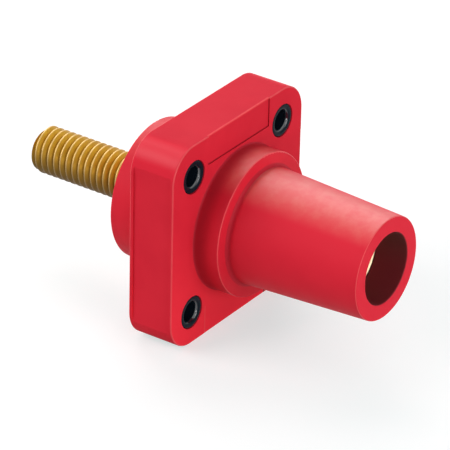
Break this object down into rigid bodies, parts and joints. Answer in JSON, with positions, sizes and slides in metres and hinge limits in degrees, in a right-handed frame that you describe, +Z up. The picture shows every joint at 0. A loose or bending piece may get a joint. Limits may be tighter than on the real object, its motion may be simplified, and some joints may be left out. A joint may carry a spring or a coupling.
{
  "type": "single pole cam lock connector",
  "caption": "Panel receptacle of a single pole cam lock connector: square moulded flange, collar and tapered hollow nose around a brass socket, with a threaded stud behind.",
  "frame": {"origin": "middle of the flange face that lies on the panel, on the socket's axis", "axes": "+Y along the stud, out of the back of the panel face; -Y along the nose; +Z up, across the flange; +X to the right seen from the front"},
  "size_m": [0.0558, 0.1051, 0.0558],
  "materials": {
    "insulator": "satin red moulded elastomer",
    "contact": "turned brass",
    "cam_pin": "ground steel dowel",
    "bushing": "glossy black coated steel"
  },
  "bodies": {
    "root": {"insulator_body": "insulator", "contact": "contact", "cam_pin": "cam_pin", "bushing_upper_left": "bushing", "bushing_upper_right": "bushing", "bushing_lower_left": "bushing", "bushing_lower_right": "bushing"}
  },
  "joints": []
}
